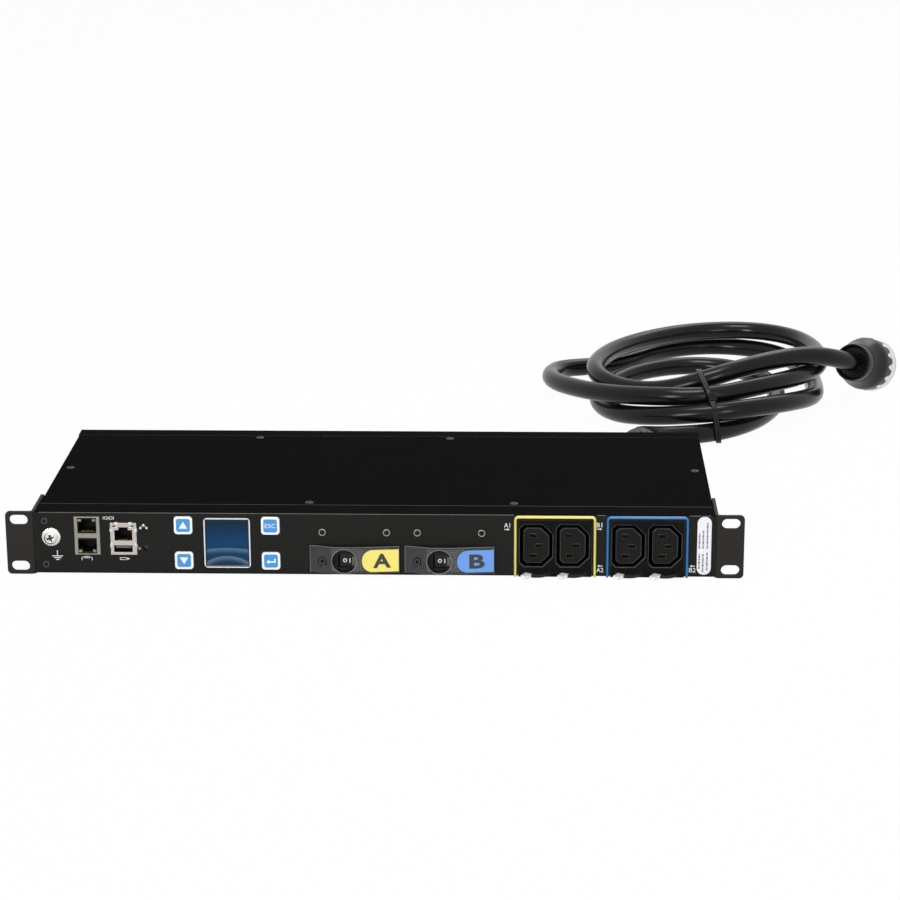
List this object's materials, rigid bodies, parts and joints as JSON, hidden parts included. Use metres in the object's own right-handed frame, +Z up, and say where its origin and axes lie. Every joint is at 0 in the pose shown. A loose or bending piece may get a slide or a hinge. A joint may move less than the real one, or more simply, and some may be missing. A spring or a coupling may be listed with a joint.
{
  "type": "rack power distribution unit",
  "caption": "Flat one-unit rack power unit with ears, screen and keys, data jacks, guarded breakers, framed outlets with swinging grips, and a tied supply cord with a round plug.",
  "frame": {"origin": "centre of the four rack slots on the ears' rear mating face", "axes": "+X to the right seen from the front, +Y into the rack, +Z up; the front panel faces -Y"},
  "size_m": [0.6385, 0.5794, 0.0574],
  "materials": {
    "chassis_paint": "fine textured black powder coat",
    "ear_paint": "fine textured black powder coat",
    "black_screw": "black oxide",
    "bright_screw": "bright nickel",
    "zinc": "zinc plate",
    "shield": "tinned steel",
    "jack_black": "moulded",
    "gold": "gold flash",
    "board_green": "printed circuit board",
    "button_black": "moulded",
    "rim_white": "gloss",
    "screen": "gloss window",
    "key_white": "gloss",
    "breaker_black": "moulded",
    "guard_clear": "smoked clear moulding",
    "outlet_black": "moulded",
    "frame_yellow": "moulded",
    "frame_blue": "moulded",
    "lever_black": "moulded",
    "tab_white": "moulded",
    "contact_metal": "brass",
    "terminal_plastic": "moulded",
    "wire_cover": "insulation",
    "gland_black": "moulded",
    "cord_black": "satin jacket",
    "tie_black": "moulded",
    "plug_black": "moulded",
    "plug_light": "moulded",
    "blade_metal": "brass"
  },
  "bodies": {
    "housing": {"chassis": "chassis_paint", "top_cover": "chassis_paint", "left_ear": "ear_paint", "right_ear": "ear_paint", "cover_screws": "black_screw", "ear_screws": "black_screw", "panel_screws": "black_screw", "breaker_screws": "bright_screw", "ground_screw": "zinc", "ground_washer": "zinc", "gland_locknut": "zinc", "serial_jack_shield": "shield", "lan_jack_shield": "shield", "serial_jack_body": "jack_black", "lan_jack_body": "jack_black", "jack_contacts": "gold", "comms_board": "board_green", "display_board": "board_green", "meter_board": "board_green", "display_bezel": "rim_white", "display_window": "screen", "breaker_a": "breaker_black", "breaker_b": "breaker_black", "breaker_guard_a": "guard_clear", "breaker_guard_b": "guard_clear", "outlet_block_a": "outlet_black", "outlet_block_b": "outlet_black", "outlet_cores_a": "outlet_black", "outlet_cores_b": "outlet_black", "outlet_frame_a": "frame_yellow", "outlet_frame_b": "frame_blue", "outlet_contacts": "contact_metal", "bus_bars": "contact_metal", "terminal_block": "terminal_plastic", "inner_wires": "wire_cover", "cable_gland": "gland_black", "gland_nut": "gland_black", "cord_lead": "cord_black", "cord_coil": "cord_black", "cord_tail": "cord_black", "cord_tie": "tie_black", "plug_collar": "plug_black", "plug_shell": "plug_black", "plug_face": "plug_light", "plug_blades": "blade_metal"},
    "key_up": {"key_up": "key_white"},
    "key_down": {"key_down": "key_white"},
    "key_escape": {"key_escape": "key_white"},
    "key_enter": {"key_enter": "key_white"},
    "reset_button": {"reset_plunger": "button_black"},
    "rocker_a": {"breaker_rocker_a": "breaker_black"},
    "rocker_b": {"breaker_rocker_b": "breaker_black"},
    "grip_1": {"grip_lever_1": "lever_black", "grip_tab_1": "tab_white"},
    "grip_2": {"grip_lever_2": "lever_black", "grip_tab_2": "tab_white"},
    "grip_3": {"grip_lever_3": "lever_black", "grip_tab_3": "tab_white"},
    "grip_4": {"grip_lever_4": "lever_black", "grip_tab_4": "tab_white"}
  },
  "joints": [
    {"name": "key_up_press", "type": "slide", "parent": "housing", "child": "key_up", "axis": [0, 1, 0], "range_m": [0, 0.0005], "stiffness_N_per_m": 600},
    {"name": "key_down_press", "type": "slide", "parent": "housing", "child": "key_down", "axis": [0, 1, 0], "range_m": [0, 0.0005], "stiffness_N_per_m": 600},
    {"name": "key_escape_press", "type": "slide", "parent": "housing", "child": "key_escape", "axis": [0, 1, 0], "range_m": [0, 0.0005], "stiffness_N_per_m": 600},
    {"name": "key_enter_press", "type": "slide", "parent": "housing", "child": "key_enter", "axis": [0, 1, 0], "range_m": [0, 0.0005], "stiffness_N_per_m": 600},
    {"name": "reset_press", "type": "slide", "parent": "housing", "child": "reset_button", "axis": [0, 1, 0], "range_m": [0, 0.0003], "stiffness_N_per_m": 600},
    {"name": "rocker_a_tip", "type": "hinge", "parent": "housing", "child": "rocker_a", "pos_m": [-0.01665, 0.0035, -0.01135], "axis": [0, 0, 1], "range_deg": [0, 18]},
    {"name": "rocker_b_tip", "type": "hinge", "parent": "housing", "child": "rocker_b", "pos_m": [0.0455, 0.0035, -0.01135], "axis": [0, 0, 1], "range_deg": [0, 18]},
    {"name": "grip_1_swing", "type": "hinge", "parent": "housing", "child": "grip_1", "pos_m": [0.10605, 0.0035, -0.01955], "axis": [0, 0, 1], "range_deg": [0, 72]},
    {"name": "grip_2_swing", "type": "hinge", "parent": "housing", "child": "grip_2", "pos_m": [0.12985, 0.0035, -0.01955], "axis": [0, 0, 1], "range_deg": [0, 72]},
    {"name": "grip_3_swing", "type": "hinge", "parent": "housing", "child": "grip_3", "pos_m": [0.1662, 0.0035, -0.01955], "axis": [0, 0, 1], "range_deg": [0, 72]},
    {"name": "grip_4_swing", "type": "hinge", "parent": "housing", "child": "grip_4", "pos_m": [0.19, 0.0035, -0.01955], "axis": [0, 0, 1], "range_deg": [0, 72]}
  ]
}
